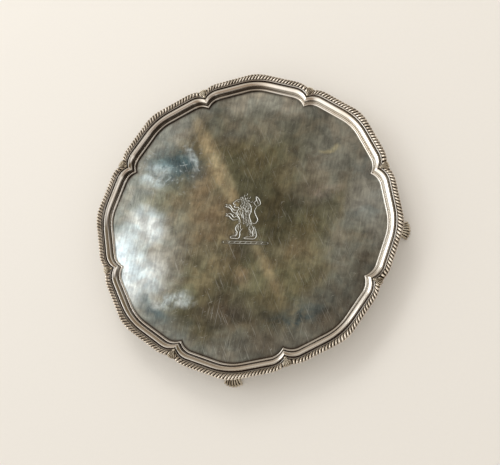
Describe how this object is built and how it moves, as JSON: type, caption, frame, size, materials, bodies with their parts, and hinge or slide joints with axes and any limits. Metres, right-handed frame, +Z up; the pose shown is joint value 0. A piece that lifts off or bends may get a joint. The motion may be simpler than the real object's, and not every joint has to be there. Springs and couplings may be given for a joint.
{
  "type": "footed salver",
  "caption": "Flat tray with a lobed, raised moulded border, a leaning gadroon rim, small shells at the points and scroll feet with shell toes.",
  "frame": {"origin": "on the table, under the middle of the tray", "axes": "+Z up, square to the tray; +X through the middle of a lobe, over a foot; +Y through the middle of the lobe a quarter turn on, over the next foot"},
  "size_m": [0.3148, 0.3148, 0.0286],
  "materials": {
    "plate_silver": "old sterling silver, hand polished, with a mottled brown and grey tarnish and fine wear scratches",
    "border_silver": "polished cast sterling silver, with dark tarnish left between the gadroons",
    "cast_silver": "cast and chased sterling silver, rubbed bright on the high places and dark in the hollows"
  },
  "bodies": {
    "root": {"plate": "plate_silver", "gadroon_border_1": "border_silver", "gadroon_border_2": "border_silver", "gadroon_border_3": "border_silver", "gadroon_border_4": "border_silver", "gadroon_border_5": "border_silver", "gadroon_border_6": "border_silver", "gadroon_border_7": "border_silver", "gadroon_border_8": "border_silver", "cusp_shell_1": "cast_silver", "cusp_shell_2": "cast_silver", "cusp_shell_3": "cast_silver", "cusp_shell_4": "cast_silver", "cusp_shell_5": "cast_silver", "cusp_shell_6": "cast_silver", "cusp_shell_7": "cast_silver", "cusp_shell_8": "cast_silver", "foot_1": "cast_silver", "foot_2": "cast_silver", "foot_3": "cast_silver", "foot_4": "cast_silver", "foot_pad_1": "cast_silver", "foot_pad_2": "cast_silver", "foot_pad_3": "cast_silver", "foot_pad_4": "cast_silver"}
  },
  "joints": []
}
